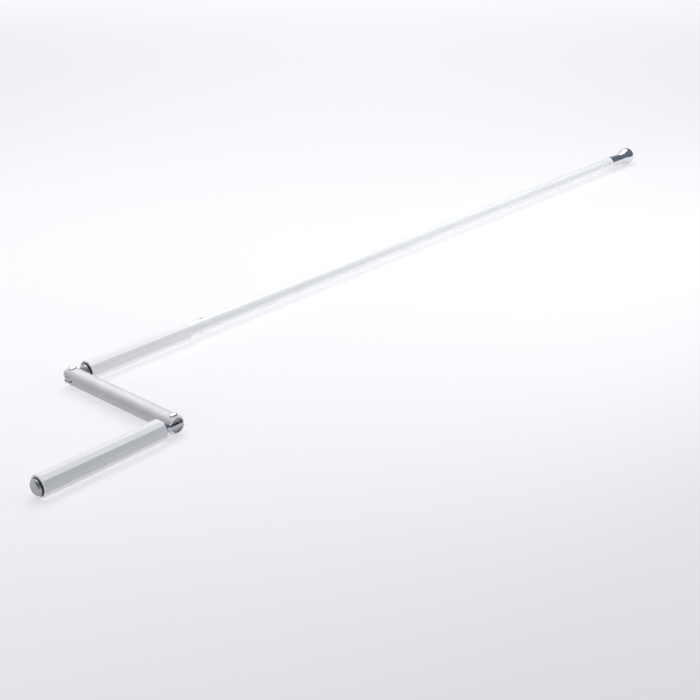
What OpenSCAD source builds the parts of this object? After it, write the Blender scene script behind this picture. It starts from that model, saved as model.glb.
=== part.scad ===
// Folding winding crank, lying in its cranking position: a long lacquered tube that ends
// in a bell coupling, a turning grip round its near end, a swinging arm, and a second
// turning grip. The hinge pins stand along Z, so the crank folds flat in the XY plane.
// Origin: axis of the bell's pilot bore, at the foot of the entry cone. +X leaves the
// bell's mouth, the arm points along -Y and the second grip along -X.

/* [Rod] */
// Distance from the first hinge pin to the foot of the bell's entry cone
rod_reach = 1144; // [800:1:1600]
// Outside diameter of the lacquered tube
rod_od = 17; // [16.4:0.2:19]
// Wall of the lacquered tube
rod_wall = 1.2; // [1:0.1:1.6]
// Length of the plug that carries the spindle inside the tube
rod_plug_length = 40; // [36:1:80]
// Distance of the spindle's cross pin from the tube's near end
rod_pin_setback = 23.5; // [8:0.5:32]
// Distance of the bell's cross pin from the tube's far end
bell_pin_setback = 26; // [10:1:34]
// Diameter of the tube's two cross pins
tube_pin_d = 4; // [3:0.5:5]
// How far a cross pin ends below the surface it sits in
pin_recess = 0.8; // [0.1:0.1:0.9]

/* [Grips] */
// Number of flat sides round a grip
grip_sides = 12; // [8, 10, 12]
// Width of a grip across its flats
grip_flats = 22; // [21:0.5:28]
// Wall of a grip sleeve at the middle of a flat
grip_wall = 2.3; // [1.6:0.1:2.6]
// Length of the upper grip sleeve, beside the tube
upper_grip_length = 137.5; // [90:0.5:200]
// Length of the lower grip sleeve, on the free end
lower_grip_length = 137.5; // [90:0.5:200]
// Length of a bush inside its sleeve
bush_length = 14; // [8:1:25]
// How far a bush stands out of its sleeve beside a collar or the cap
bush_rim = 1.4; // [0.8:0.1:2.5]
// Outside diameter of the spindles that the bushes turn on
spindle_d = 12; // [10:0.5:13]
// Wall of the spindles
spindle_wall = 2; // [1.5:0.1:2.5]
// Thickness of the end cap's disc
cap_thickness = 2.5; // [2.2:0.1:6]
// Chamfer round the end cap's face
cap_chamfer = 1.8; // [0.4:0.1:2]
// Length of the end cap's stem inside the spindle
cap_stem_length = 18; // [10:1:40]

/* [Arm] */
// Distance between the two hinge pins
arm_length = 159; // [110:1:240]
// Outside diameter of the arm tube
arm_od = 19; // [18.6:0.2:20]
// Wall of the arm tube
arm_wall = 2; // [1.5:0.1:2.5]
// How far the arm reaches past each hinge pin
arm_end = 5.2; // [4.8:0.1:6.5]
// Length of the plugs in the arm's ends
arm_plug_length = 32; // [24:1:50]
// How far a plug sits back from the arm's end
arm_plug_recess = 1; // [0.5:0.1:1.5]

/* [Hinges] */
// Height of the slot milled across each arm end
slot_height = 5; // [4.6:0.1:7]
// Width of a knuckle's tongue between its flat sides
tongue_width = 14.2; // [12:0.2:15]
// Diameter of the tongue's end, which is round about the pin
tongue_end_d = 18.4; // [16:0.2:18.4]
// Room between the tongue's round end and the slot's floor
tongue_relief = 0.6; // [0.4:0.1:3]
// Distance from the hinge pin to the front of the knuckle's collar
collar_start = 12.2; // [12:0.1:14]
// Length of the knuckle's collar
collar_length = 3.2; // [2.6:0.1:8]
// Chamfer round the front of the collar
collar_chamfer = 1.7; // [0.5:0.1:2]
// Length of the knuckle's stem inside the spindle
stem_length = 28; // [20:1:60]
// Distance of the stem's cross pin from the collar
stem_pin_setback = 14; // [8:1:16]
// Diameter of the stem's cross pin
stem_pin_d = 3; // [2:0.5:3.5]
// Diameter of the hinge pins
hinge_pin_d = 5; // [4:0.5:6]
// Diameter of the hinge pins' heads
hinge_head_d = 8.2; // [7:0.1:8.6]
// Height of the straight edge of a hinge pin's head
hinge_head_edge = 0.5; // [0.4:0.1:1.2]
// Height of the dome on a hinge pin's head
hinge_head_dome = 1.6; // [0.6:0.1:2]
// Depth of the flat that a hinge pin's head sits on, below the arm's crown
spot_depth = 0.15; // [0.1:0.05:0.3]
// Diameter of the friction washers
washer_od = 10; // [9:0.5:12]
// Thickness of the friction washers
washer_thickness = 0.4; // [0.3:0.1:0.8]

/* [Coupling] */
// Outside diameter of the bell's round head
bell_od = 27.6; // [26:0.2:32]
// Distance of the head's middle from the mouth
bell_head_depth = 8; // [6:0.5:9]
// Length of the bell outside the tube, head and neck
bell_length = 62; // [52:1:90]
// Length of the bell's shank inside the tube
bell_shank_length = 42; // [36:1:70]
// Depth of the entry cone
entry_depth = 4; // [2:0.5:6]
// Diameter of the entry cone at the mouth
entry_d = 17; // [15.5:0.5:17.5]
// Diameter of the pilot bore
pilot_d = 14.4; // [13.8:0.2:16]
// Length of the pilot bore in front of the magnet
pilot_length = 12; // [8:1:20]
// Thickness of the ring magnet that holds the driven shaft
magnet_thickness = 4; // [2:0.5:6]
// Outside diameter of the ring magnet
magnet_d = 13; // [12:0.2:13.4]
// Hole through the ring magnet
magnet_hole_d = 9; // [8.4:0.2:10]
// Outside diameter of the hexagon insert
hex_insert_d = 11; // [10:0.5:12]
// Width of the hexagon socket across its flats
hex_flats = 7.2; // [6.5:0.1:8]
// Length of the hexagon insert
hex_insert_length = 24; // [12:1:30]

/* [Fits] */
// Radial gap of a part that turns on another
running_gap = 0.05; // [0.02:0.01:0.1]
// Radial gap of a part that is pressed or glued into another
seat_gap = 0.02; // [0.01:0.01:0.05]
// End play of a grip sleeve between its stops
end_play = 0.2; // [0.1:0.05:0.5]
// Radial gap between a sleeve's bore and the collar inside it
collar_gap = 0.7; // [0.4:0.1:1]
// Amount by which the end cap's radius is smaller than the sleeve's bore
cap_gap = 0.3; // [0.2:0.1:1]
// Gap between a friction washer and the faces beside it
washer_gap = 0.1; // [0.05:0.01:0.15]
// Gap round a hinge pin's head in its spot face
head_gap = 0.2; // [0.1:0.05:0.4]

/* [Hidden] */
$fn = 96;
// Overrun of a cut past the face that it leaves
cut = 1;

// Tubes, sleeves and spindles
rod_bore = rod_od - 2 * rod_wall;
spindle_bore = spindle_d - 2 * spindle_wall;
grip_bore = grip_flats - 2 * grip_wall;
grip_corners = grip_flats / cos(180 / grip_sides);
bush_od = grip_bore - 2 * seat_gap;
bush_bore = spindle_d + 2 * running_gap;
stem_d = spindle_bore - 2 * seat_gap;
collar_d = grip_bore - 2 * collar_gap;
cap_d = grip_bore - 2 * cap_gap;

// Places along a handle, from its hinge pin
collar_end = collar_start + collar_length;
stem_pin_at = collar_end + stem_pin_setback;
grip_start = collar_end + end_play + bush_rim;
upper_grip_end = grip_start + upper_grip_length;
tube_start = upper_grip_end + end_play;
lower_grip_end = grip_start + lower_grip_length;
cap_start = lower_grip_end + bush_rim + end_play;
upper_spindle_end = tube_start + rod_plug_length;
rod_pin_at = tube_start + rod_pin_setback;

// Places along the bell, from the foot of the entry cone
bell_head_at = entry_depth - bell_head_depth;
tube_end = entry_depth - bell_length;
bell_shank_end = tube_end - bell_shank_length;
bell_pin_at = tube_end - bell_pin_setback;
magnet_start = -pilot_length - magnet_thickness;
hex_start = magnet_start - hex_insert_length;
shank_d = rod_bore - 2 * seat_gap;

// Hinges
hinge_x = -rod_reach;
tongue_thickness = slot_height - 2 * (washer_thickness + 2 * washer_gap);
slot_floor = tongue_end_d / 2 + tongue_relief;
arm_bore = arm_od - 2 * arm_wall;
arm_plug_d = arm_bore - 2 * seat_gap;
spot_d = hinge_head_d + 2 * head_gap;
head_seat = arm_od / 2 - spot_depth;
dome_radius = (pow(hinge_head_d / 2, 2) + pow(hinge_head_dome, 2)) / (2 * hinge_head_dome);

// Colours
lacquer_white = [0.95, 0.95, 0.96];
sleeve_white = [0.92, 0.92, 0.94];
satin_aluminium = [0.72, 0.73, 0.75];
bright_chrome = [0.80, 0.82, 0.84];
plain_steel = [0.60, 0.61, 0.62];
bush_black = [0.05, 0.05, 0.06];
plug_grey = [0.25, 0.25, 0.26];
magnet_grey = [0.35, 0.35, 0.37];

// Frames of the two handles and of the arm's ends
module at_upper_hinge() {
    translate([hinge_x, 0, 0])
        children();
}

module at_lower_hinge() {
    translate([hinge_x, -arm_length, 0])
        rotate([0, 0, 180])
            children();
}

// At each end of the arm, with +Y pointing out of that end
module at_arm_ends() {
    at_upper_hinge()
        children();
    at_lower_hinge()
        children();
}

// Shapes that repeat
module bar_x(start, end, d) {
    translate([start, 0, 0])
        rotate([0, 90, 0])
            cylinder(d = d, h = end - start);
}

module ring_x(start, end, outside, inside) {
    difference() {
        bar_x(start, end, outside);
        bar_x(start - cut, end + cut, inside);
    }
}

module pin_z(x, d, length) {
    translate([x, 0, 0])
        cylinder(d = d, h = length, center = true);
}

module cross_hole(x, d, across) {
    pin_z(x, d + 2 * seat_gap, across + 2 * cut);
}

// Revolves a profile drawn as [radius, place along X]
module revolve_x() {
    rotate([0, 90, 0])
        rotate_extrude()
            children();
}

// A sleeve of flat sides, with one flat underneath
module grip_sleeve(start, length) {
    difference() {
        translate([start, 0, 0])
            rotate([0, 90, 0])
                rotate([0, 0, 180 / grip_sides])
                    cylinder(d = grip_corners, h = length, $fn = grip_sides);
        bar_x(start - cut, start + length + cut, grip_bore);
    }
}

module bush(start, end) {
    ring_x(start, end, bush_od, bush_bore);
}

// Tongue, chamfered collar and stem of a handle's hinge end
module knuckle() {
    difference() {
        union() {
            intersection() {
                cylinder(d = tongue_end_d, h = tongue_thickness, center = true);
                cube([2 * tongue_end_d, tongue_width, 2 * tongue_thickness], center = true);
            }
            translate([0, -tongue_width / 2, -tongue_thickness / 2])
                cube([collar_start + collar_chamfer, tongue_width, tongue_thickness]);
            translate([collar_start, 0, 0])
                rotate([0, 90, 0])
                    cylinder(d1 = collar_d - 2 * collar_chamfer, d2 = collar_d, h = collar_chamfer);
            bar_x(collar_start + collar_chamfer, collar_end, collar_d);
            bar_x(collar_end - cut, collar_end + stem_length, stem_d);
        }
        pin_z(0, hinge_pin_d + 2 * running_gap, tongue_thickness + 2 * cut);
        cross_hole(stem_pin_at, stem_pin_d, stem_d);
    }
}

module stem_pin() {
    pin_z(stem_pin_at, stem_pin_d, spindle_d - 2 * pin_recess);
}

// Slot, pin hole and spot faces of one arm end
module hinge_cuts() {
    translate([-arm_od, -slot_floor, -slot_height / 2])
        cube([2 * arm_od, slot_floor + arm_end + cut, slot_height]);
    cross_hole(0, hinge_pin_d, arm_od);
    for (side = [0, 1])
        mirror([0, 0, side])
            translate([0, 0, head_seat])
                cylinder(d = spot_d, h = arm_od);
}

// Rod: the tube, the bell at its far end and the spindle at its near end
module rod_tube() {
    color(lacquer_white)
        difference() {
            ring_x(hinge_x + tube_start, tube_end, rod_od, rod_bore);
            cross_hole(hinge_x + rod_pin_at, tube_pin_d, rod_od);
            cross_hole(bell_pin_at, tube_pin_d, rod_od);
        }
}

// Half section of the bell: shank, neck and round head, cut off at the mouth
module bell_section() {
    difference() {
        union() {
            translate([0, bell_shank_end])
                square([shank_d / 2, bell_shank_length + cut]);
            translate([0, tube_end])
                square([rod_od / 2, bell_head_at - tube_end]);
            translate([0, bell_head_at])
                circle(d = bell_od);
        }
        translate([0, entry_depth])
            square([bell_od, bell_od]);
        translate([-bell_od, bell_shank_end - cut])
            square([bell_od, bell_shank_length + bell_length + bell_od]);
    }
}

module coupling_bell() {
    color(bright_chrome)
        difference() {
            revolve_x()
                bell_section();
            rotate([0, 90, 0])
                cylinder(d1 = pilot_d, d2 = entry_d, h = entry_depth);
            translate([entry_depth, 0, 0])
                bar_x(0, cut, entry_d);
            bar_x(-pilot_length, 0, pilot_d);
            bar_x(magnet_start, cut - pilot_length, magnet_d + 2 * seat_gap);
            bar_x(hex_start, magnet_start + cut, hex_insert_d + 2 * seat_gap);
            cross_hole(bell_pin_at, tube_pin_d, rod_od);
        }
}

module hex_insert() {
    color(plain_steel)
        difference() {
            bar_x(hex_start, magnet_start, hex_insert_d);
            translate([hex_start - cut, 0, 0])
                rotate([0, 90, 0])
                    cylinder(d = hex_flats / cos(30), h = hex_insert_length + 2 * cut, $fn = 6);
        }
}

module coupling_magnet() {
    color(magnet_grey)
        ring_x(magnet_start, -pilot_length, magnet_d, magnet_hole_d);
}

module tube_pins() {
    color(plain_steel)
        for (place = [hinge_x + rod_pin_at, bell_pin_at])
            pin_z(place, tube_pin_d, rod_od - 2 * pin_recess);
}

module rod_plug() {
    color(satin_aluminium)
        at_upper_hinge()
            difference() {
                ring_x(tube_start, upper_spindle_end, rod_bore - 2 * seat_gap, spindle_d + 2 * seat_gap);
                cross_hole(rod_pin_at, tube_pin_d, rod_od);
            }
}

module upper_spindle() {
    color(plain_steel)
        at_upper_hinge()
            difference() {
                ring_x(collar_end, upper_spindle_end, spindle_d, spindle_bore);
                cross_hole(stem_pin_at, stem_pin_d, spindle_d);
                cross_hole(rod_pin_at, tube_pin_d, spindle_d);
            }
}

module upper_knuckle() {
    color(bright_chrome)
        at_upper_hinge()
            knuckle();
}

module upper_spindle_pin() {
    color(plain_steel)
        at_upper_hinge()
            stem_pin();
}

// Upper grip: a sleeve on two bushes
module upper_grip() {
    color(sleeve_white)
        at_upper_hinge()
            grip_sleeve(grip_start, upper_grip_length);
}

module upper_hinge_bush() {
    color(bush_black)
        at_upper_hinge()
            bush(grip_start - bush_rim, grip_start + bush_length);
}

module upper_tube_bush() {
    color(bush_black)
        at_upper_hinge()
            bush(upper_grip_end - bush_length, upper_grip_end);
}

// Arm: a tube with a plug, a pin and washers at each end
module arm_tube() {
    length = arm_length + 2 * arm_end;
    color(satin_aluminium)
        difference() {
            at_upper_hinge()
                translate([0, -arm_length / 2, 0])
                    rotate([90, 0, 0])
                        difference() {
                            cylinder(d = arm_od, h = length, center = true);
                            cylinder(d = arm_bore, h = length + 2 * cut, center = true);
                        }
            at_arm_ends()
                hinge_cuts();
        }
}

module arm_plugs() {
    color(plug_grey)
        at_arm_ends()
            difference() {
                translate([0, arm_end - arm_plug_recess, 0])
                    rotate([90, 0, 0])
                        cylinder(d = arm_plug_d, h = arm_plug_length);
                hinge_cuts();
            }
}

// A riveted pin with a domed head at each end
module hinge_pins() {
    color(bright_chrome)
        at_arm_ends()
            for (side = [0, 1])
                mirror([0, 0, side]) {
                    cylinder(d = hinge_pin_d, h = head_seat);
                    translate([0, 0, head_seat])
                        cylinder(d = hinge_head_d, h = hinge_head_edge);
                    translate([0, 0, head_seat + hinge_head_edge])
                        rotate_extrude()
                            intersection() {
                                translate([0, hinge_head_dome - dome_radius])
                                    circle(r = dome_radius);
                                square([hinge_head_d / 2, hinge_head_dome]);
                            }
                }
}

module hinge_washers() {
    color(bush_black)
        at_arm_ends()
            for (side = [0, 1])
                mirror([0, 0, side])
                    translate([0, 0, tongue_thickness / 2 + washer_gap])
                        difference() {
                            cylinder(d = washer_od, h = washer_thickness);
                            pin_z(0, hinge_pin_d + 2 * washer_gap, 4 * washer_thickness);
                        }
}

// Lower handle: knuckle, spindle and end cap
module lower_knuckle() {
    color(bright_chrome)
        at_lower_hinge()
            knuckle();
}

module lower_spindle() {
    color(plain_steel)
        at_lower_hinge()
            difference() {
                ring_x(collar_end, cap_start, spindle_d, spindle_bore);
                cross_hole(stem_pin_at, stem_pin_d, spindle_d);
            }
}

module lower_spindle_pin() {
    color(plain_steel)
        at_lower_hinge()
            stem_pin();
}

module end_cap() {
    color(bright_chrome)
        at_lower_hinge() {
            bar_x(cap_start - cap_stem_length, cap_start + cut, stem_d);
            bar_x(cap_start, cap_start + cap_thickness - cap_chamfer, cap_d);
            translate([cap_start + cap_thickness - cap_chamfer, 0, 0])
                rotate([0, 90, 0])
                    cylinder(d1 = cap_d, d2 = cap_d - 2 * cap_chamfer, h = cap_chamfer);
        }
}

// Lower grip: a sleeve on two bushes
module lower_grip() {
    color(sleeve_white)
        at_lower_hinge()
            grip_sleeve(grip_start, lower_grip_length);
}

module lower_cap_bush() {
    color(bush_black)
        at_lower_hinge()
            bush(lower_grip_end - bush_length, lower_grip_end + bush_rim);
}

module lower_hinge_bush() {
    color(bush_black)
        at_lower_hinge()
            bush(grip_start - bush_rim, grip_start + bush_length);
}

rod_tube();
coupling_bell();
hex_insert();
coupling_magnet();
tube_pins();
rod_plug();
upper_spindle();
upper_knuckle();
upper_spindle_pin();
upper_grip();
upper_hinge_bush();
upper_tube_bush();
arm_tube();
arm_plugs();
hinge_pins();
hinge_washers();
lower_knuckle();
lower_spindle();
lower_spindle_pin();
end_cap();
lower_grip();
lower_cap_bush();
lower_hinge_bush();
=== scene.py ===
# %% [markdown]
# # A folding winding crank
# The real object turns a roller shutter from indoors. A long white tube ends in a chrome bell that
# takes the gear's shaft, and two turning grips and a satin arm fold out into a crank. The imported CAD
# model already holds every piece in its place and on its joint. It is loaded first and left as it is,
# and finer surfaces are then drawn round it, in the same frame and in millimetres.

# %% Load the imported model
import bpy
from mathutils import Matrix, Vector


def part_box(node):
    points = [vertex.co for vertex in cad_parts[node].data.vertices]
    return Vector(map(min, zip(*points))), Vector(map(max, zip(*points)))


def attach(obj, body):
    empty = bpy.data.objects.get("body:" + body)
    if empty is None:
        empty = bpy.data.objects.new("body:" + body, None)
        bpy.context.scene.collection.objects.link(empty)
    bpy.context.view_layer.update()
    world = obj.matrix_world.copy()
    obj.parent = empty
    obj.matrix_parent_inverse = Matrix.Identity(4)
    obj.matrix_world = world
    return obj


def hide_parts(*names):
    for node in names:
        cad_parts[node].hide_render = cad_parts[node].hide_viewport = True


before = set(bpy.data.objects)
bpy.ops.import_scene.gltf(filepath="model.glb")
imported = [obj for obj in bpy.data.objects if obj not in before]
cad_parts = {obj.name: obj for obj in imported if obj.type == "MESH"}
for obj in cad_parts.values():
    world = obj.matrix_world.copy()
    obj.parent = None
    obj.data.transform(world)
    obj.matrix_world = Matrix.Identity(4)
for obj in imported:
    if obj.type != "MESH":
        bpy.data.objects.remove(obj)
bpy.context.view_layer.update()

import math

import bmesh
import bpy
import numpy as np
from mathutils import Matrix, Vector

MM = 0.001


def box_mm(node):
    """Lowest and highest corner of a CAD node, in millimetres."""
    return [np.array(corner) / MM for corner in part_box(node)]


# %% [markdown]
# ## The camera
# A camera could be placed by eye, but the two grips give better help. Their straight edges run along X,
# the arm runs along Y, and the model gives the width across a grip's flats, so the place, the turn and
# the lens that make all those lines fall where the picture shows them follow from a fit. The numbers
# here are that fit's result.

# %% Camera
CAMERA_PLACE = np.array([-1776.4, -948.5, 533.4])
CAMERA_TURN = math.radians(48.34)
CAMERA_TILT = math.radians(24.585)
CAMERA_ROLL = math.radians(-0.19)
LENS = 60.43
SENSOR = 36.0
# The nearest and furthest things that the camera shows, in metres.
NEAREST = 0.05
FURTHEST = 50.0

ahead = np.array([
    math.sin(CAMERA_TURN) * math.cos(CAMERA_TILT),
    math.cos(CAMERA_TURN) * math.cos(CAMERA_TILT),
    -math.sin(CAMERA_TILT),
])
level = np.array([math.cos(CAMERA_TURN), -math.sin(CAMERA_TURN), 0.0])
upright = np.cross(level, ahead)
right = math.cos(CAMERA_ROLL) * level + math.sin(CAMERA_ROLL) * upright
up = math.cos(CAMERA_ROLL) * upright - math.sin(CAMERA_ROLL) * level

camera_data = bpy.data.cameras.new("photo_camera")
camera_data.lens = LENS
camera_data.sensor_width = SENSOR
camera_data.sensor_fit = "HORIZONTAL"
camera_data.clip_start = NEAREST
camera_data.clip_end = FURTHEST
camera = bpy.data.objects.new("photo_camera", camera_data)
pose = np.eye(4)
pose[:3] = np.column_stack([right, up, -ahead, CAMERA_PLACE * MM])
camera.matrix_world = Matrix(pose.tolist())
bpy.context.scene.collection.objects.link(camera)
bpy.context.scene.camera = camera
bpy.context.scene.view_settings.view_transform = "Standard"
print("camera looks along", np.round(ahead, 3).tolist())

# %% [markdown]
# ## Nodes without the clutter
# Every finish is a small tree of shader nodes. A few helpers keep the trees readable: one adds a node
# and fills or links its sockets in a single call, three wrap the nodes that are used most, and one
# starts a material whose fixed numbers sit on the shader itself. A Mix node has sockets for numbers,
# vectors and colours under the same names, so those are picked by their order.

# %% Node helpers
# The order of a Mix node's first input, second input and output, for numbers and for colours.
MIX_NUMBERS = (2, 3, 0)
MIX_COLOURS = (6, 7, 2)


def add_node(tree, kind, sockets=None, **settings):
    """Adds a node, sets its properties, and fills each named socket with a number or a link."""
    node = tree.nodes.new(kind)
    for name, value in settings.items():
        setattr(node, name, value)
    for name, value in (sockets or {}).items():
        if isinstance(value, bpy.types.NodeSocket):
            tree.links.new(value, node.inputs[name])
        else:
            node.inputs[name].default_value = value
    return node


def rgba(colour):
    """A colour of three numbers with full opacity added. A link is passed on as it is."""
    return colour if isinstance(colour, bpy.types.NodeSocket) else (*colour, 1.0)


def calculate(tree, operation, *values):
    """The result of one step of arithmetic on these numbers or links."""
    return add_node(tree, "ShaderNodeMath", dict(enumerate(values)), operation=operation).outputs[0]


def measure_along(tree, place, direction):
    """How far a place lies along a direction, which is their dot product."""
    node = add_node(tree, "ShaderNodeVectorMath", {0: place, 1: direction}, operation="DOT_PRODUCT")
    return node.outputs["Value"]


def mix_colours(tree, share, first, second):
    """A colour that goes from first to second as share goes from 0 to 1."""
    one, other, mixed = MIX_COLOURS
    sockets = {"Factor": share, one: rgba(first), other: rgba(second)}
    return add_node(tree, "ShaderNodeMix", sockets, data_type="RGBA").outputs[mixed]


def start_finish(name, fixed):
    """A new material, its node tree, its shader, and each point's place in the object's own frame."""
    finish = bpy.data.materials.new(name)
    finish.use_nodes = True
    tree = finish.node_tree
    shader = tree.nodes["Principled BSDF"]
    for socket, value in fixed.items():
        shader.inputs[socket].default_value = value
    place = add_node(tree, "ShaderNodeTexCoord").outputs["Object"]
    return finish, tree, shader, place


print("node helpers ready")

# %% [markdown]
# ## The floor
# The crank lies on a white table that is lit from below as well as from above, the way a catalogue
# photo is taken. A floor of plain white paper would need far more light than the crank can take, so
# this one is darker paper that also glows, but only for rays that come from the camera, a mirror or
# glass: its glow whitens the picture and lights nothing. The bell is a little thicker than the grips,
# so the floor falls by the difference along the crank and both rest on it.

# %% Floor
FLOOR_HALF = 7000.0
FLOOR_CORNERS = np.array([[-1, -1], [1, -1], [1, 1], [-1, 1]])
BELL_MIDDLE = -4.0
grip_end = box_mm("lower_grip")[0]
bell_bottom = box_mm("coupling_bell")[0][2]
floor_slope = (bell_bottom - grip_end[2]) / (BELL_MIDDLE - grip_end[0])
corner = FLOOR_HALF * FLOOR_CORNERS
height = grip_end[2] + floor_slope * (corner[:, 0] - grip_end[0])
floor_mesh = bpy.data.meshes.new("floor")
floor_mesh.from_pydata((np.column_stack([corner, height]) * MM).tolist(), [], [(0, 1, 2, 3)])
floor = bpy.data.objects.new("floor", floor_mesh)
bpy.context.scene.collection.objects.link(floor)
print("floor falls", round(-floor_slope / MM, 2), "mm in a metre towards the bell")

# %% [markdown]
# ## The floor's paper
# The glow follows the distance along the camera's first direction, measured on the floor itself, so it
# stays put when the camera moves. A curve through five points of (metres, strength) gives it its
# levels.

# %% Glowing paper
FLOOR_WHITE = (0.30, 0.297, 0.308)
GLOW_TINT = (0.985, 0.975, 1.01)
GLOW_LEVELS = [(-1.3, 0.51), (-0.7, 0.645), (0.3, 0.61), (2.3, 0.92), (4.3, 1.0)]
paper, tree, shader, place = start_finish(
    "white_paper", {"Base Color": rgba(FLOOR_WHITE), "Roughness": 0.8, "Specular IOR Level": 0.1}
)
away = measure_along(tree, place, (ahead[0], ahead[1], 0.0))
levels = add_node(tree, "ShaderNodeFloatCurve", {"Value": away})
curve = levels.mapping.curves[0]
for point, level_pair in zip(curve.points, (GLOW_LEVELS[0], GLOW_LEVELS[-1])):
    point.location = level_pair
for level_pair in GLOW_LEVELS[1:-1]:
    curve.points.new(*level_pair)
levels.mapping.clip_min_x = GLOW_LEVELS[0][0]
levels.mapping.clip_max_x = GLOW_LEVELS[-1][0]
levels.mapping.use_clip = False
levels.mapping.update()
path = add_node(tree, "ShaderNodeLightPath").outputs
seen = calculate(tree, "MAXIMUM", path["Is Camera Ray"], path["Is Glossy Ray"])
seen = calculate(tree, "MAXIMUM", seen, path["Is Transmission Ray"])
strength = calculate(tree, "MULTIPLY", levels.outputs["Value"], seen)
glow = add_node(tree, "ShaderNodeEmission", {"Color": rgba(GLOW_TINT), "Strength": strength}).outputs[0]
both = add_node(tree, "ShaderNodeAddShader", {0: shader.outputs[0], 1: glow}).outputs[0]
tree.links.new(both, tree.nodes["Material Output"].inputs["Surface"])
floor_mesh.materials.append(paper)
print("floor glows from", GLOW_LEVELS[0][1], "to", GLOW_LEVELS[-1][1])

# %% [markdown]
# ## The lamps
# One large soft lamp hangs overhead, two low ones fill the front and the left, and one shines up through
# the table, which casts no shadow of its own. The fills and the table's lamp are kept out of
# reflections, so that the chrome shows the room.

# %% Lamps
LIGHT_TINT = (1.0, 0.99, 1.0)


def soft_lamp(name, place, toward, width, depth, brightness):
    """A rectangular lamp that shines along the direction toward, with its place and sizes in metres. Its
    power grows with its area, so brightness says how bright its face is, whatever its size."""
    data = bpy.data.lights.new(name, "AREA")
    data.shape = "RECTANGLE"
    data.size = width
    data.size_y = depth
    data.energy = brightness * math.pi * width * depth
    data.color = LIGHT_TINT
    lamp = bpy.data.objects.new(name, data)
    lamp.location = place
    lamp.rotation_euler = Vector(toward).to_track_quat("-Z", "Y").to_euler()
    bpy.context.scene.collection.objects.link(lamp)
    print(name, width, "by", depth, "m at", place)
    return lamp


soft_lamp("overhead_lamp", (-0.45, 0.5, 1.5), toward=(0, 0, -1), width=2.4, depth=1.2, brightness=3.3)
front = soft_lamp("front_fill", (-0.3, -0.6, 0.5), toward=(0, 1, 0), width=1.2, depth=0.4, brightness=3.25)
left = soft_lamp("left_fill", (-2.2, -0.2, 0.35), toward=(1, 0, 0), width=1.0, depth=0.5, brightness=2.5)
table = soft_lamp("table_glow", (-0.65, 0.1, -0.3), toward=(0, 0, 1), width=2.0, depth=1.2, brightness=1.25)
for lamp in (front, left, table):
    lamp.visible_glossy = False
table.data.cycles.use_multiple_importance_sampling = False
floor.visible_shadow = False

# %% [markdown]
# ## The room
# Polished metal shows what stands round it. Dull blue walls draw the dark band along the chrome, and
# one bright window with a soft edge draws its light side. The window is there for reflections alone,
# because as a lamp it would wash out the white grips from behind. The camera itself sees a pale
# backdrop past the floor.

# %% Room
WALL = (0.14, 0.175, 0.21)
WINDOW = (0.90, 0.90, 0.92)
BACKDROP = (0.78, 0.78, 0.79)
WINDOW_WAY = (0.0, 1.0, 0.6)
WINDOW_FROM = 0.55
WINDOW_TO = 0.85
room = bpy.data.worlds.new("studio")
room.use_nodes = True
tree = room.node_tree
way = add_node(tree, "ShaderNodeTexCoord").outputs["Generated"]
window_share = add_node(
    tree,
    "ShaderNodeMapRange",
    {"Value": measure_along(tree, way, WINDOW_WAY), "From Min": WINDOW_FROM, "From Max": WINDOW_TO},
    interpolation_type="SMOOTHSTEP",
).outputs["Result"]
path = add_node(tree, "ShaderNodeLightPath").outputs
mirrored_share = calculate(tree, "MULTIPLY", window_share, path["Is Glossy Ray"])
around = mix_colours(tree, mirrored_share, WALL, WINDOW)
shown = mix_colours(tree, path["Is Camera Ray"], around, BACKDROP)
tree.links.new(shown, tree.nodes["Background"].inputs["Color"])
room.cycles.sampling_method = "NONE"
bpy.context.scene.world = room
print("room:", room.name)

# %% [markdown]
# ## Effects that several finishes share
# Real surfaces are never even: gloss drifts from place to place, lacquer has a fine orange peel, turned
# metal has rings and drawn metal has lines. Two groups cover all of it. The first gives a soft, uneven
# value between two limits. The second gives the rings that a lathe leaves: it adds the place along the
# axis to the distance from it, so a barrel gets rings along its length and a flat end gets rings round
# its middle.

# %% Shared node groups
VECTOR = "NodeSocketVector"
NUMBER = "NodeSocketFloat"
CLOUD_LOW = 0.3
CLOUD_HIGH = 0.7
RING_DETAIL = 3.0
ACROSS_X = (0.0, 1.0, 1.0)
CLOUD_INPUTS = {"Vector": VECTOR, "Scale": NUMBER, "Detail": NUMBER}
UNEVEN_INPUTS = {**CLOUD_INPUTS, "Least": NUMBER, "Most": NUMBER}
RING_INPUTS = {"Vector": VECTOR, "Scale": NUMBER}


def start_group(name, inputs, output):
    """A node group with these inputs and one output, its inputs as sockets, and its output node."""
    group = bpy.data.node_groups.new(name, "ShaderNodeTree")
    for socket, kind in inputs.items():
        group.interface.new_socket(socket, in_out="INPUT", socket_type=kind)
    group.interface.new_socket(output, in_out="OUTPUT", socket_type=NUMBER)
    return group, group.nodes.new("NodeGroupInput").outputs, group.nodes.new("NodeGroupOutput")


uneven_group, asked, given = start_group("uneven", UNEVEN_INPUTS, "Value")
cloud_sockets = {name: asked[name] for name in CLOUD_INPUTS}
cloud = add_node(uneven_group, "ShaderNodeTexNoise", cloud_sockets).outputs[0]
cloud_limits = {"From Min": CLOUD_LOW, "From Max": CLOUD_HIGH}
asked_limits = {"To Min": asked["Least"], "To Max": asked["Most"]}
spread = add_node(uneven_group, "ShaderNodeMapRange", {"Value": cloud, **cloud_limits, **asked_limits})
uneven_group.links.new(spread.outputs["Result"], given.inputs["Value"])

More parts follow.
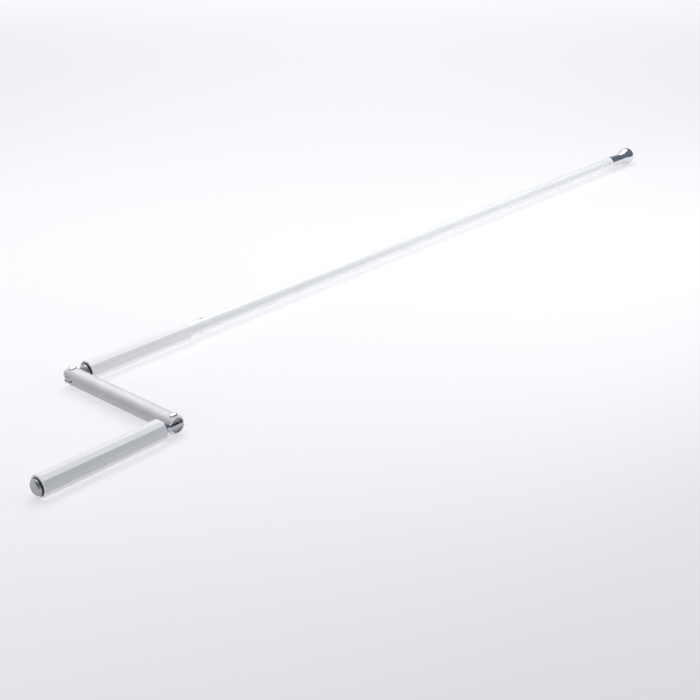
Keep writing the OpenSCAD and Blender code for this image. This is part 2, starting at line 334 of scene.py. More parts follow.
rings_group, asked, given = start_group("lathe_rings", RING_INPUTS, "Height")
along = add_node(rings_group, "ShaderNodeSeparateXYZ", {0: asked["Vector"]}).outputs["X"]
radial = add_node(
    rings_group, "ShaderNodeVectorMath", {0: asked["Vector"], 1: ACROSS_X}, operation="MULTIPLY"
).outputs[0]
radius = add_node(rings_group, "ShaderNodeVectorMath", {0: radial}, operation="LENGTH").outputs["Value"]
walk = calculate(rings_group, "ADD", along, radius)
ring = add_node(
    rings_group,
    "ShaderNodeTexNoise",
    {"W": walk, "Scale": asked["Scale"], "Detail": RING_DETAIL},
    noise_dimensions="1D",
).outputs[0]
rings_group.links.new(ring, given.inputs["Height"])
print("groups:", uneven_group.name, rings_group.name)

# %% [markdown]
# ## Using the effects
# A group is placed in a material by a node that names it, with its own values on the sockets. These
# helpers do that, move or stretch a pattern, and let a pattern of heights tilt the surface.


# %% Effect helpers
def uneven(tree, vector, least=0.0, most=1.0, *, scale, detail):
    """A soft uneven value between least and most, from patches that repeat scale times in a metre."""
    sockets = {"Vector": vector, "Scale": scale, "Detail": detail, "Least": least, "Most": most}
    return add_node(tree, "ShaderNodeGroup", sockets, node_tree=uneven_group).outputs["Value"]


def lathe_rings(tree, vector, scale):
    """The height of the rings left by turning about the X axis."""
    sockets = {"Vector": vector, "Scale": scale}
    return add_node(tree, "ShaderNodeGroup", sockets, node_tree=rings_group).outputs["Height"]


def shift(tree, vector, move=(0.0, 0.0, 0.0), stretch=(1.0, 1.0, 1.0)):
    """The same places stretched, then moved, so that a pattern is drawn out along an axis or centred."""
    sockets = {"Vector": vector, "Location": move, "Scale": stretch}
    return add_node(tree, "ShaderNodeMapping", sockets).outputs["Vector"]


def relief(tree, shader, height, strength, depth):
    """Lets a height pattern of this depth in millimetres tilt the shader's surface."""
    sockets = {"Height": height, "Strength": strength, "Distance": depth * MM}
    tilted = add_node(tree, "ShaderNodeBump", sockets).outputs["Normal"]
    tree.links.new(tilted, shader.inputs["Normal"])


def paint(tree, shader, colour, roughness):
    """Links a colour and a roughness to the shader."""
    tree.links.new(colour, shader.inputs["Base Color"])
    tree.links.new(roughness, shader.inputs["Roughness"])


print("effect helpers ready")

# %% [markdown]
# ## White lacquer and white sleeve
# The tube is sprayed: a hard glossy coat over white, with a fine orange peel that only shows in its
# reflections. The grips are moulded: a slightly warmer white, a softer gloss, and corners that hands
# have polished. The polish follows an attribute that the grip's own mesh carries, one on a corner and
# zero on a flat.

# %% White finishes
CORNER_POLISH = -0.10
white_lacquer, tree, shader, place = start_finish(
    "white_lacquer", {"Coat Weight": 0.4, "Coat Roughness": 0.06, "IOR": 1.5}
)
patch = uneven(tree, place, scale=9.0, detail=2.0)
sprayed = mix_colours(tree, patch, (0.88, 0.88, 0.89), (0.865, 0.865, 0.875))
paint(tree, shader, sprayed, uneven(tree, place, least=0.22, most=0.28, scale=40.0, detail=3.0))
relief(tree, shader, uneven(tree, place, scale=500.0, detail=1.0), strength=0.03, depth=0.03)

white_sleeve, tree, shader, place = start_finish("white_sleeve", {"IOR": 1.49})
worn = add_node(tree, "ShaderNodeAttribute", attribute_name="corner_wear").outputs["Fac"]
patch = uneven(tree, place, scale=25.0, detail=3.0)
moulded = mix_colours(tree, patch, (0.88, 0.86, 0.858), (0.845, 0.825, 0.824))
rubbed = mix_colours(tree, worn, moulded, (0.87, 0.875, 0.895))
satin = uneven(tree, place, least=0.34, most=0.48, scale=60.0, detail=3.0)
paint(tree, shader, rubbed, calculate(tree, "MULTIPLY_ADD", worn, CORNER_POLISH, satin))
relief(tree, shader, uneven(tree, place, scale=2600.0, detail=2.0), strength=0.12, depth=0.03)
print("white finishes:", white_lacquer.name, white_sleeve.name)

# %% [markdown]
# ## Drawn metals
# The arm is anodised tube: drawing has left fine lines along it, which are noise stretched fifty times
# along Y. The sawn ends are bare, and their lighter colour is partly that bare metal and partly painted
# light, so past a set distance from the arm's middle another colour and another gloss take over.
# Spindles, pins and the hexagon are plain steel and the tube's plug is plain aluminium, both drawn
# along X.

# %% Drawn metals
METAL = {"Metallic": 1.0}
DRAWN_ALONG_Y = (1.0, 0.02, 1.0)
DRAWN_ALONG_X = (0.02, 1.0, 1.0)
ARM_LENGTH = 159.0
ARM_MIDDLE = (0.0, ARM_LENGTH / 2 * MM, 0.0)
BARE_AND_PAINTED_LIGHT_PAST_PIN = 5.0
BARE_AND_PAINTED_LIGHT_FROM = (ARM_LENGTH / 2 + BARE_AND_PAINTED_LIGHT_PAST_PIN) * MM
# The ends' colour: bare metal, made lighter still as painted light on the sawn ends.
BARE_AND_PAINTED_LIGHT_COLOUR = (0.80, 0.80, 0.81)
SAWN_ROUGHNESS = 0.30


def drawn_metal(name, light, dark, stretch, roughness):
    """Bare tube: noise stretched along its length gives both its colour and its relief fine lines."""
    finish, tree, shader, place = start_finish(name, METAL)
    lines = uneven(tree, shift(tree, place, stretch=stretch), scale=2400.0, detail=3.0)
    dulled = uneven(tree, place, *roughness, scale=45.0, detail=4.0)
    paint(tree, shader, mix_colours(tree, lines, light, dark), dulled)
    relief(tree, shader, lines, strength=0.15, depth=0.02)
    return finish


def bare_ends_with_painted_light(finish, move, half):
    """Bare metal, its colour lifted by painted light, wherever the place along Y, counted from the middle,
    is further than half.
    """
    tree = finish.node_tree
    shader = tree.nodes["Principled BSDF"]
    place = add_node(tree, "ShaderNodeTexCoord").outputs["Object"]
    along = add_node(tree, "ShaderNodeSeparateXYZ", {0: shift(tree, place, move=move)}).outputs["Y"]
    # Mask of the ends, where the bare colour with its painted light takes over.
    bare_and_lit_end = calculate(tree, "GREATER_THAN", calculate(tree, "ABSOLUTE", along), half)
    colour, roughness = [shader.inputs[name].links[0].from_socket for name in ("Base Color", "Roughness")]
    one, other, mixed = MIX_NUMBERS
    ends = add_node(tree, "ShaderNodeMix", {"Factor": bare_and_lit_end, one: roughness, other: SAWN_ROUGHNESS})
    paint(tree, shader, mix_colours(tree, bare_and_lit_end, colour, BARE_AND_PAINTED_LIGHT_COLOUR), ends.outputs[mixed])


satin_aluminium = drawn_metal(
    "satin_aluminium",
    light=(0.64, 0.64, 0.65),
    dark=(0.59, 0.59, 0.60),
    stretch=DRAWN_ALONG_Y,
    roughness=(0.66, 0.74),
)
bare_ends_with_painted_light(satin_aluminium, ARM_MIDDLE, BARE_AND_PAINTED_LIGHT_FROM)
plain_aluminium = drawn_metal(
    "plain_aluminium",
    light=(0.80, 0.80, 0.82),
    dark=(0.72, 0.72, 0.74),
    stretch=DRAWN_ALONG_X,
    roughness=(0.35, 0.50),
)
plain_steel = drawn_metal(
    "plain_steel",
    light=(0.60, 0.60, 0.61),
    dark=(0.50, 0.50, 0.52),
    stretch=DRAWN_ALONG_X,
    roughness=(0.30, 0.45),
)
print("drawn metals:", satin_aluminium.name, plain_aluminium.name, plain_steel.name)

# %% [markdown]
# ## Turned metals
# The bell and the rivets are plated and polished, with faint lathe rings. The collars are duller zinc,
# and the end cap is turned steel with a satin face. The rings need the axis that the piece was turned
# on, so the pieces of the lower handle move the pattern over by the length of the arm.

# %% Turned metals
ON_AXIS = (0.0, 0.0, 0.0)
LOWER_AXIS = (0.0, ARM_LENGTH * MM, 0.0)


def turned_metal(name, light, dark, axis, roughness, ring_depth):
    """Metal turned about an axis along X: lathe rings in its relief, and a gloss that drifts."""
    finish, tree, shader, place = start_finish(name, METAL)
    patch = uneven(tree, place, scale=120.0, detail=3.0)
    dulled = uneven(tree, place, *roughness, scale=300.0, detail=4.0)
    paint(tree, shader, mix_colours(tree, patch, light, dark), dulled)
    rings = lathe_rings(tree, shift(tree, place, move=axis), scale=2600.0)
    relief(tree, shader, rings, strength=0.2, depth=ring_depth)
    return finish


bright_chrome = turned_metal(
    "bright_chrome",
    light=(0.80, 0.81, 0.83),
    dark=(0.74, 0.75, 0.78),
    axis=ON_AXIS,
    roughness=(0.08, 0.16),
    ring_depth=0.004,
)
upper_zinc, lower_zinc = [
    turned_metal(
        name,
        light=(0.52, 0.53, 0.55),
        dark=(0.46, 0.47, 0.49),
        axis=axis,
        roughness=(0.36, 0.46),
        ring_depth=0.006,
    )
    for name, axis in (("upper_zinc", ON_AXIS), ("lower_zinc", LOWER_AXIS))
]
cap_steel = turned_metal(
    "cap_steel",
    light=(0.46, 0.47, 0.48),
    dark=(0.40, 0.41, 0.42),
    axis=LOWER_AXIS,
    roughness=(0.34, 0.44),
    ring_depth=0.01,
)
print("turned metals:", bright_chrome.name, upper_zinc.name, lower_zinc.name, cap_steel.name)

# %% [markdown]
# ## Dull mouldings
# The bushes and washers are black bearing plastic, the arm's plugs are grey nylon, and the ring magnet
# is sintered and nearly black. All three are dull, so an uneven roughness and a fine grain are enough.


# %% Dull finishes
def dull_moulding(name, light, dark, roughness, metallic=0.0):
    """A dull moulded or sintered surface with a fine grain."""
    finish, tree, shader, place = start_finish(name, {"Metallic": metallic})
    patch = uneven(tree, place, scale=350.0, detail=4.0)
    dulled = uneven(tree, place, *roughness, scale=500.0, detail=3.0)
    paint(tree, shader, mix_colours(tree, patch, light, dark), dulled)
    relief(tree, shader, uneven(tree, place, scale=3000.0, detail=3.0), strength=0.2, depth=0.03)
    return finish


bush_black = dull_moulding(
    "bush_black",
    light=(0.022, 0.022, 0.024),
    dark=(0.013, 0.013, 0.014),
    roughness=(0.38, 0.52),
)
plug_grey = dull_moulding(
    "plug_grey",
    light=(0.58, 0.58, 0.59),
    dark=(0.50, 0.50, 0.51),
    roughness=(0.45, 0.60),
)
magnet_grey = dull_moulding(
    "magnet_grey",
    light=(0.13, 0.13, 0.135),
    dark=(0.09, 0.09, 0.095),
    roughness=(0.35, 0.50),
    metallic=0.7,
)
print("dull finishes:", bush_black.name, plug_grey.name, magnet_grey.name)

# %% [markdown]
# ## Surfaces from numbers
# Every new piece is one or more sheets: a grid of points, and the four-sided cells between them. A
# sheet can close on itself in either direction. Points that two sheets share are welded, and the faces
# are then turned outwards.

# %% Sheets and pieces
WELD = 0.002


def sheet(points, keep=None, loop_rows=False, loop_cols=True):
    """A grid of points as a flat list, and the corner numbers of its cells. Cell (i, j) joins the points
    (i, j), (i + 1, j), (i + 1, j + 1) and (i, j + 1). A direction that loops comes back to its start."""
    rows, cols = points.shape[:2]
    cell_rows = np.arange(rows if loop_rows else rows - 1)
    cell_cols = np.arange(cols if loop_cols else cols - 1)
    i, j = np.meshgrid(cell_rows, cell_cols, indexing="ij")
    below, beside = (i + 1) % rows, (j + 1) % cols
    corners = [i * cols + j, below * cols + j, below * cols + beside, i * cols + beside]
    quads = np.stack(corners, axis=-1)
    return points.reshape(-1, 3), quads.reshape(-1, 4) if keep is None else quads[keep]


def make_piece(name, sheets, body, node, finish, wear=None):
    """Welds the sheets into one closed mesh, turns its faces outwards, and replaces the node with it."""
    all_points, all_quads = zip(*sheets)
    first = np.cumsum([0] + [len(points) for points in all_points])
    quads = np.concatenate([quads + start for quads, start in zip(all_quads, first)])
    mesh = bpy.data.meshes.new(name)
    mesh.from_pydata((np.concatenate(all_points) * MM).tolist(), [], quads.tolist())
    if wear is not None:
        mesh.attributes.new("corner_wear", "FLOAT", "POINT").data.foreach_set("value", wear.ravel())
    shape = bmesh.new()
    shape.from_mesh(mesh)
    bmesh.ops.remove_doubles(shape, verts=shape.verts, dist=WELD * MM)
    bmesh.ops.recalc_face_normals(shape, faces=shape.faces)
    open_edges = sum(not edge.is_manifold for edge in shape.edges)
    shape.to_mesh(mesh)
    shape.free()
    mesh.shade_smooth()
    mesh.materials.append(finish)
    piece = bpy.data.objects.new(name, mesh)
    bpy.context.scene.collection.objects.link(piece)
    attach(piece, body)
    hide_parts(node)
    print(f"{name}: {len(mesh.polygons)} faces, {open_edges} open edges")
    return piece


print("points closer than", WELD, "mm are welded")

# %% [markdown]
# ## Rounded outlines
# No real edge is sharp, and a small rounding is what catches the light. An outline is given by its
# corners and one radius for each, and each corner is replaced by an arc.

# %% Outlines
ARC_STEPS = 6
GUARD_SHARE = 0.3


def spans(breaks, counts):
    """Numbers from the first break to the last, with so many equal steps from each break to the next."""
    parts = [np.linspace(a, b, n, endpoint=False) for a, b, n in zip(breaks[:-1], breaks[1:], counts)]
    return np.concatenate([*parts, breaks[-1:]])


def rounded(corners, radii):
    """An outline through the corners, each cut by an arc that touches both of its sides. For a turn by
    angle t, an arc of radius r starts r tan(t / 2) before the corner, swings through t about a centre on
    the inner side, and ends as far after it. A guard point just outside each end of the arc keeps the
    shading of the flats flat."""
    corners = np.array(corners, float)
    radius = np.array(radii, float)[:, None]
    into = corners - np.roll(corners, 1, axis=0)
    into /= np.linalg.norm(into, axis=1, keepdims=True)
    out = np.roll(into, -1, axis=0)
    cross = into[:, 0] * out[:, 1] - into[:, 1] * out[:, 0]
    turn = np.arctan2(cross, (into * out).sum(axis=1))[:, None]
    start = corners - into * radius * np.abs(np.tan(turn / 2))
    end = corners + out * radius * np.abs(np.tan(turn / 2))
    inward = np.column_stack([-into[:, 1], into[:, 0]]) * np.sign(turn)
    centre = start + inward * radius
    swing = turn * np.linspace(0, 1, ARC_STEPS)
    spoke = start - centre
    along = centre[:, :1] + spoke[:, :1] * np.cos(swing) - spoke[:, 1:] * np.sin(swing)
    beside = centre[:, 1:] + spoke[:, :1] * np.sin(swing) + spoke[:, 1:] * np.cos(swing)
    before = (start - into * radius * GUARD_SHARE)[:, None, :]
    after = (end + out * radius * GUARD_SHARE)[:, None, :]
    return np.concatenate([before, np.stack([along, beside], axis=-1), after], axis=1).reshape(-1, 2)


def rim(edge, steps):
    """A quarter circle on a tube's end: how far each row lies from the end, and how far it draws in."""
    bend = np.linspace(0, np.pi / 2, steps)
    return edge * (1 - np.cos(bend)), edge * (1 - np.sin(bend))


print("each rounding has", ARC_STEPS, "points")

# %% [markdown]
# ## Turning, and where things go
# Most pieces of the crank come off a lathe, so an outline of places and radii is carried once round the
# X axis. Each handle is drawn in a frame of its own, with its hinge pin at the origin, and then set
# down at its hinge.

# %% Turning and placing
# Points round a turned piece, from the largest to the smallest.
FINE_STEPS = 128
TURN_STEPS = 96
SMALL_STEPS = 64
PIN_STEPS = 48
PIN_LOW, PIN_HIGH = box_mm("hinge_pins")
HINGE_X = (PIN_LOW[0] + PIN_HIGH[0]) / 2
UPPER_HINGE = np.array([HINGE_X, 0.0, 0.0])
LOWER_HINGE = np.array([HINGE_X, -ARM_LENGTH, 0.0])
UNDERSIDE = np.array([1.0, 1.0, -1.0])
HALF_TURN = np.array([-1.0, -1.0, 1.0])


def turn_x(places, radii, angles):
    """A point at place s along X and at radius r, turned to angle a, is (s, r cos a, r sin a)."""
    s, r = np.broadcast_arrays(np.reshape(places, (-1, 1)), radii * np.ones_like(angles))
    return np.stack([s, r * np.cos(angles), r * np.sin(angles)], axis=-1)


def turned(outline, steps=TURN_STEPS):
    """Rounds an outline of (place, radius, rounding) rows and turns it once round the X axis."""
    rows = np.array(outline, float)
    line = rounded(rows[:, :2], rows[:, 2])
    return turn_x(line[:, 0], line[:, 1:], np.linspace(0, 2 * np.pi, steps, endpoint=False))


def turned_ring(start, end, hole, radius, edge, steps=TURN_STEPS):
    """A plain ring from start to end along X, with all four edges rounded alike."""
    corners = [(start, hole), (start, radius), (end, radius), (end, hole)]
    return turned([(*corner, edge) for corner in corners], steps)


def at_upper(points):
    """From a handle's own frame, hinge pin at the origin and handle along +X, to the upper hinge."""
    return points + UPPER_HINGE


def at_lower(points):
    """The same at the lower hinge, where the handle is turned half round about the pin."""
    return points * HALF_TURN + LOWER_HINGE


def upright_z(points):
    """Stands points that were turned about X up along Z."""
    return points[..., [1, 2, 0]]


print("hinges at x =", round(HINGE_X, 2), "mm")

# %% [markdown]
# ## The grips
# Each grip is a moulded sleeve with twelve flats, a round bore and softened edges. Its outside is drawn
# in polar form: along a flat the distance from the axis is apothem / cos(angle), and on a corner it is
# the far side of a small circle set into the corner. The same ring of distances is carried along the
# handle and drawn in a little at both ends, then comes back through the bore, so one sheet closes on
# itself both ways.

# %% Polygons in polar form
GRIP_SIDES = 12
GRIP_CORNER = 0.9
# Taken off the angle where a corner starts, so that its first point counts as on the corner.
HAIR = 1e-9


def flat_reach(sides, corner, apothem):
    """The angle from a flat's middle to where its corner's arc starts."""
    return math.atan((apothem - corner) * math.tan(math.pi / sides) / apothem)


def polygon_angles(sides, corner, apothem, flat_steps=4, corner_steps=6):
    """Angles round a polygon, some on each flat and some on each corner. The first flat is at angle 0."""
    flat = flat_reach(sides, corner, apothem)
    one = spans(np.array([-flat, flat, 2 * math.pi / sides - flat]), [flat_steps, corner_steps])[:-1]
    start = 2 * math.pi / sides * np.arange(sides)
    return (start[:, None] + one).ravel()


def polygon_radius(angles, sides, corner, apothem):
    """Distance from the axis to a polygon with rounded corners, and a mask that is 1 on the corners.
    On a flat it is apothem / cos(a), with a measured from the flat's middle. On a corner it is
    D cos(b) + sqrt(corner^2 - D^2 sin^2(b)), with D the distance of the corner circle's middle and b
    measured from it."""
    step = 2 * math.pi / sides
    a = (angles + step / 2) % step - step / 2
    b = np.abs(a) - step / 2
    middle = (apothem - corner) / math.cos(step / 2)
    arc = middle * np.cos(b) + np.sqrt(np.maximum(corner**2 - (middle * np.sin(b)) ** 2, 0))
    on_corner = np.abs(a) > flat_reach(sides, corner, apothem) - HAIR
    return np.where(on_corner, arc, apothem / np.cos(a)), on_corner


grip_flat = 2 * flat_reach(GRIP_SIDES, GRIP_CORNER, box_mm("upper_grip")[1][2])
print("each flat of a grip spans", round(math.degrees(grip_flat), 1), "degrees")

# %% [markdown]
# ## Both sleeves
# The two sleeves are the same moulding on different handles. The mesh also carries how worn each point
# is: one on the corners and the rims, where a hand rubs, and zero elsewhere.

# %% Grip sleeves
GRIP_BORE = 8.7
GRIP_RIM = 0.5
RIM_STEPS = 6


def grip_sleeve(start, end, apothem):
    """Rows of the sleeve: its outside, with rims drawn in by a quarter circle, then back along its bore."""
    along, inward = rim(GRIP_RIM, RIM_STEPS)
    guard = 2 * GRIP_RIM
    middle = [start + guard, end - guard]
    places = np.concatenate([start + along, middle, end - along[::-1], [end, start]])
    draw = np.concatenate([inward, np.zeros(len(middle)), inward[::-1]])
    angles = polygon_angles(GRIP_SIDES, GRIP_CORNER, apothem)
    outside, on_corner = polygon_radius(angles, GRIP_SIDES, GRIP_CORNER, apothem)
    radii = np.concatenate([outside - draw[:, None], np.full((2, len(angles)), GRIP_BORE)])
    wear = np.zeros(radii.shape)
    wear[: len(draw)] = np.maximum(on_corner, draw[:, None] > 0)
    return turn_x(places, radii, angles), wear


for name, node, put in (
    ("upper_sleeve", "upper_grip", at_upper),
    ("lower_sleeve", "lower_grip", at_lower),
):
    grip_low, grip_high = box_mm(node)
    start, end = sorted([abs(grip_low[0] - HINGE_X), abs(grip_high[0] - HINGE_X)])
    points, wear = grip_sleeve(start, end, grip_high[2])
    make_piece(name, [sheet(put(points), loop_rows=True)], node, node, white_sleeve, wear)

# %% [markdown]
# ## Cross holes in a tube
# The tube and the arm both have pins through them. A Boolean could cut the holes, but it leaves ragged
# cells. Here the tube's grid leaves out a square zone round each hole, and a second sheet fills it:
# rings that go from the square to the circle on the outside, down the hole, and from the circle back to
# a square on the inside.

# %% Tubes with cross holes
ZONE_STEPS = 12
FLANK_STEPS = 8
SIDE_STEPS = 10
HALF_COLS = ZONE_STEPS + 2 * FLANK_STEPS + SIDE_STEPS
SIDE_START = ZONE_STEPS + FLANK_STEPS
COLUMN = np.arange(2 * HALF_COLS) % HALF_COLS
IN_ZONE_COLS = COLUMN < ZONE_STEPS
IN_SIDE_COLS = (COLUMN >= SIDE_START) & (COLUMN < SIDE_START + SIDE_STEPS)
ZONE_RINGS = 5
RING_SHARE = np.linspace(0, 1, ZONE_RINGS)[:, None]


def tube_angles(radius, zone, slot):
    """Angles from the top, once round: the drilled zone, a flank, the side between the heights slot and
    -slot, a flank, and the same again from underneath."""
    z, s = math.asin(zone / radius), math.acos(slot / radius)
    half = np.array([-z, z, s, math.pi - s, math.pi - z])
    breaks = np.concatenate([half, math.pi + half[1:]])
    return spans(breaks, 2 * [ZONE_STEPS, FLANK_STEPS, SIDE_STEPS, FLANK_STEPS])[:-1]


def zone_rings(place, zone, radius, bore, angles=None):
    """Rings on a tube of this radius, from the edge of the square zone to a round bore. At share k of the
    way, a ring lies at (1 - k) edge + k circle, lifted to the tube at height sqrt(radius^2 - across^2)."""
    n = ZONE_STEPS
    steps = np.linspace(-1, 1, n + 1)
    across = radius * np.sin(steps * math.asin(zone / radius))
    along = zone * steps
    edge_s = np.concatenate([np.full(n, along[0]), along[:-1], np.full(n, along[-1]), along[:0:-1]])
    edge_w = np.concatenate([across[:-1], np.full(n, across[-1]), across[:0:-1], np.full(n, across[0])])
    angles = np.arctan2(edge_w, edge_s) if angles is None else angles
    s = (1 - RING_SHARE) * edge_s + RING_SHARE * bore * np.cos(angles)
    w = (1 - RING_SHARE) * edge_w + RING_SHARE * bore * np.sin(angles)
    return np.stack([place + s, w, np.sqrt(radius**2 - w**2)], axis=-1), angles


def hole_rings(place, zone, outer, inner, bore, seat=None):
    """All rings of one hole. A seat of (radius, height) cuts the tube down to that height round the bore,
    wherever the tube stands higher, as a flat for a rivet's head."""
    wide = bore if seat is None else seat[0]
    outside, angles = zone_rings(place, zone, outer, wide)
    inside, angles = zone_rings(place, zone, inner, bore, angles)
    if seat is None:
        return np.concatenate([outside, inside[::-1]])
    flat = []
    for r in (wide, bore):
        across = r * np.sin(angles)
        height = np.minimum(np.sqrt(outer**2 - across**2), seat[1])
        flat.append(np.column_stack([place + r * np.cos(angles), across, height]))
    return np.concatenate([outside, flat, inside[::-1]])


print("columns round a drilled tube:", 2 * HALF_COLS)

# %% [markdown]
# ## The lacquered tube
# More than nine tenths of a metre of thin tube, closed at both ends by what is pinned into it. It is
# one grid that runs along the outside and back along the inside, with four cross holes.

# %% Lacquered tube
TUBE_WALL = 1.2
TUBE_EDGE = 0.35
TUBE_EDGE_STEPS = 5
# Rows from each break along the tube to the next, close together round the pins.
TUBE_STEPS = [1, 2, ZONE_STEPS, 12, ZONE_STEPS, 2, 1]
PIN_HOLE = 2.02
PIN_ZONE = 3.2
tube_low, tube_high = box_mm("rod_tube")
pins_low, pins_high = box_mm("tube_pins")
TUBE_RADIUS = tube_high[2]
PIN_RADIUS = pins_high[1]
pin_places = [pins_low[0] + PIN_RADIUS, pins_high[0] - PIN_RADIUS]


def lacquered_tube(start, end):
    """Rows along the outside, with both ends rounded by a quarter circle, and back along the inside."""
    inner = TUBE_RADIUS - TUBE_WALL
    along, inward = [row[:-1] for row in rim(TUBE_EDGE, TUBE_EDGE_STEPS)]
    first, last = pin_places
    near = [start + TUBE_EDGE, start + 2 * TUBE_EDGE, first - PIN_ZONE, first + PIN_ZONE]
    far = [last - PIN_ZONE, last + PIN_ZONE, end - 2 * TUBE_EDGE, end - TUBE_EDGE]
    middle = spans(np.array(near + far), TUBE_STEPS)
    places = np.concatenate([start + along, middle, end - along[::-1], [end], middle[::-1], [start]])
    outer_rows = len(middle) + 2 * len(along)
    radii = np.full(len(places), inner)
    radii[:outer_rows] = TUBE_RADIUS
    radii[: len(along)] -= inward
    radii[outer_rows - len(along) : outer_rows] -= inward[::-1]
    is_outer = (np.arange(len(places)) < outer_rows)[:, None]
    outer_angles, inner_angles = [tube_angles(r, PIN_ZONE, PIN_ZONE) for r in (TUBE_RADIUS, inner)]
    angles = np.where(is_outer, outer_angles, inner_angles)
    s, r = np.broadcast_arrays(places[:, None], radii[:, None] * np.ones_like(angles))
    points = np.stack([s, r * np.sin(angles), r * np.cos(angles)], axis=-1)
    halfway = (places + np.roll(places, -1)) / 2
    in_zone = (np.abs(halfway - first) < PIN_ZONE) | (np.abs(halfway - last) < PIN_ZONE)
    sheets = [sheet(points, keep=~(in_zone[:, None] & IN_ZONE_COLS), loop_rows=True)]
    for pin in pin_places:
        rings = hole_rings(pin, PIN_ZONE, TUBE_RADIUS, inner, PIN_HOLE)
        sheets += [sheet(rings), sheet(rings * UNDERSIDE)]
    return sheets


tube_sheets = lacquered_tube(tube_low[0], tube_high[0])
make_piece("lacquered_tube", tube_sheets, "rod", "rod_tube", white_lacquer)

# %% [markdown]
# ## The tube's cross pins
# Two plain dowels, each eight tenths of a millimetre below the lacquer. They are turned about their own
# axis and then stood up along Z, with rounded ends that catch the light in the bottom of the hole.

# %% Cross pins
DOWEL_ROUND = 0.6
half_pin = pins_high[2]
dowel = upright_z(turned(
    [
        (-half_pin, 0.0, 0.0),
        (-half_pin, PIN_RADIUS, DOWEL_ROUND),
        (half_pin, PIN_RADIUS, DOWEL_ROUND),
        (half_pin, 0.0, 0.0),
    ],
    PIN_STEPS,
))
dowels = [sheet(dowel + np.array([pin, 0.0, 0.0])) for pin in pin_places]
make_piece("tube_dowels", dowels, "rod", "tube_pins", plain_steel)

# %% [markdown]
# ## The bell
# A turned and plated coupling: a neck as thick as the tube that runs straight into a ball, cut off flat
# at the mouth, which has a lead-in cone. It is an outline turned once round X. The ball is an arc: at
# angle q it lies at R cos q along the axis and R sin q out from it, from where it meets the neck to the
# mouth.

# %% Bell
BELL_SHANK = 7.28
SHANK_ROUND = 0.5
NECK_ROUND = 0.3
BALL_STEPS = 40
MOUTH_ROUND = 0.6
ENTRY_RADIUS = 8.5
ENTRY_ROUND = 0.2
PILOT_RADIUS = 7.2
PILOT_ROUND = 0.3
PILOT_END = -12.0
MAGNET_SEAT = 6.52
MAGNET_END = -16.0
HEX_SEAT = 5.52
HEX_END = -40.0
bell_low, bell_high = box_mm("coupling_bell")
shank_end, mouth, head = bell_low[0], bell_high[0], bell_high[2]
neck_start = tube_high[0]
meets_neck = math.pi - math.asin(TUBE_RADIUS / head)
swing = np.linspace(meets_neck, math.acos((mouth - BELL_MIDDLE) / head), BALL_STEPS)
ball = np.column_stack([BELL_MIDDLE + head * np.cos(swing), head * np.sin(swing), np.zeros(BALL_STEPS)])
ball[-1, 2] = MOUTH_ROUND
before_ball = [
    (shank_end, 0.0, 0.0),
    (shank_end, BELL_SHANK, SHANK_ROUND),
    (neck_start, BELL_SHANK, 0.0),
    (neck_start, TUBE_RADIUS, NECK_ROUND),
]
after_ball = [
    (mouth, ENTRY_RADIUS, ENTRY_ROUND),
    (0.0, PILOT_RADIUS, PILOT_ROUND),
    (PILOT_END, PILOT_RADIUS, 0.0),
    (PILOT_END, MAGNET_SEAT, 0.0),
    (MAGNET_END, MAGNET_SEAT, 0.0),
    (MAGNET_END, HEX_SEAT, 0.0),
    (HEX_END, HEX_SEAT, 0.0),
    (HEX_END, 0.0, 0.0),
]
bell = turned(np.concatenate([before_ball, ball, after_ball]), FINE_STEPS)
make_piece("chrome_bell", [sheet(bell)], "rod", "coupling_bell", bright_chrome)

# %% [markdown]
# ## Inside the bell
# Looking into the mouth one sees the ring magnet and, behind it, the hexagon that drives the shaft. The
# insert is a round barrel whose bore is a six-sided polygon with a flared lead-in.

# %% Magnet and hexagon insert
MAGNET_HOLE = 4.5
MAGNET_ROUND = 0.3
magnet_low, magnet_high = box_mm("coupling_magnet")
magnet = turned_ring(magnet_low[0], magnet_high[0], MAGNET_HOLE, magnet_high[2], MAGNET_ROUND, SMALL_STEPS)
magnet_sheet = sheet(magnet, loop_rows=True)
make_piece("ring_magnet", [magnet_sheet], "rod", "coupling_magnet", magnet_grey)

HEXAGON = {"sides": 6, "corner": 0.15, "apothem": 3.6}
HEX_LEAD = 0.5
insert_low, insert_high = box_mm("hex_insert")
back, front_face = insert_low[0], insert_high[0]
angles = polygon_angles(**HEXAGON, flat_steps=6, corner_steps=4)
hexagon = polygon_radius(angles, **HEXAGON)[0]
barrel = np.full(len(angles), insert_high[2])
places = np.array([back, front_face, front_face, front_face - HEX_LEAD, back])
insert = turn_x(places, np.array([barrel, barrel, hexagon + HEX_LEAD, hexagon, hexagon]), angles)
insert_sheet = sheet(insert, loop_rows=True)
make_piece("hexagon_insert", [insert_sheet], "rod", "hex_insert", plain_steel)

# %% [markdown]
# ## The arm
# The arm is a tube, cut off square, with a slot milled across each end, so each end has two ears. One
# grid again covers the outside and the bore. Its side columns stop at the slot's floor, and narrow
# sheets close the slot's faces. A shallow flat on the crown seats each rivet's head, whose sides stand
# out over the curve of the tube.

# %% Arm skins and slots
ARM_WALL = 2.0
ARM_END = 5.2
SLOT_HALF = 2.5
SLOT_FLOOR = 9.8
FLOOR_MARGIN = 2.0
RIVET_ZONE = 4.6
RIVET_HOLE = 2.52
SPOT_RADIUS = 4.3
SPOT_DEPTH = 0.15
# Rows along an ear from its end to the slot's floor, then past the floor, then along the body.
EAR_STEPS = [1, ZONE_STEPS, 4]
FLOOR_STEPS = 2
BODY_STEPS = 8
ARM_RADIUS = box_mm("arm_tube")[1][2]
HEAD_SEAT = ARM_RADIUS - SPOT_DEPTH


def arm_frame(points):
    """From (place along the arm, across, height) to the part's frame."""
    return points[..., [1, 0, 2]] + UPPER_HINGE


